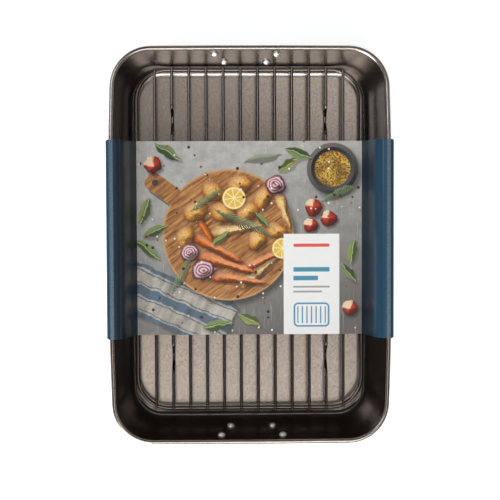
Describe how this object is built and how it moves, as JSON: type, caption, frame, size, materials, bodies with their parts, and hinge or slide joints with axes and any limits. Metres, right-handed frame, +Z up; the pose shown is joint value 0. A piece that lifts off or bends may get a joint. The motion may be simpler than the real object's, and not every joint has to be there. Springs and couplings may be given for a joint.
{
  "type": "roasting pan with rack",
  "caption": "Deep rectangular roasting pan with a rolled rim, a footed wire rack, drop handles on the ends and a removable printed card sleeve.",
  "frame": {"origin": "centre of the pan's base, on the surface that the pan stands on", "axes": "+X to the pan's right, +Y along its length to the back end, +Z up"},
  "size_m": [0.2882, 0.4, 0.0608],
  "materials": {
    "nonstick_coating": "satin metallic non-stick coating",
    "rack_coating": "gloss dark non-stick coating on wire",
    "bracket_steel": "satin pressed steel",
    "rivet_metal": "bright aluminium",
    "bail_steel": "polished wire",
    "printed_card": "glossy varnished print on card"
  },
  "bodies": {
    "pan": {"pan_body": "nonstick_coating", "handle_bracket_back_left": "bracket_steel", "handle_bracket_back_right": "bracket_steel", "handle_bracket_front_left": "bracket_steel", "handle_bracket_front_right": "bracket_steel", "rivets_back": "rivet_metal", "rivets_front": "rivet_metal"},
    "rack": {"rack_frame": "rack_coating", "rack_cross_wire": "rack_coating", "rack_bar_01": "rack_coating", "rack_bar_02": "rack_coating", "rack_bar_03": "rack_coating", "rack_bar_04": "rack_coating", "rack_bar_05": "rack_coating", "rack_bar_06": "rack_coating", "rack_bar_07": "rack_coating", "rack_bar_08": "rack_coating", "rack_bar_09": "rack_coating", "rack_bar_10": "rack_coating", "rack_bar_11": "rack_coating", "rack_bar_12": "rack_coating"},
    "sleeve": {"card_sleeve": "printed_card"},
    "back_handle": {"handle_bail_back": "bail_steel"},
    "front_handle": {"handle_bail_front": "bail_steel"}
  },
  "joints": [
    {"name": "rack_lift", "type": "slide", "parent": "pan", "child": "rack", "axis": [0, 0, 1], "range_m": [0, 0.08]},
    {"name": "sleeve_lift", "type": "slide", "parent": "rack", "child": "sleeve", "axis": [0, 0, 1], "range_m": [0, 0.075]},
    {"name": "back_handle_swing", "type": "hinge", "parent": "pan", "child": "back_handle", "pos_m": [0, 0.19302, 0.03711], "axis": [1, 0, 0], "range_deg": [0, 148]},
    {"name": "front_handle_swing", "type": "hinge", "parent": "pan", "child": "front_handle", "pos_m": [0, -0.19302, 0.03711], "axis": [-1, 0, 0], "range_deg": [0, 148]}
  ]
}
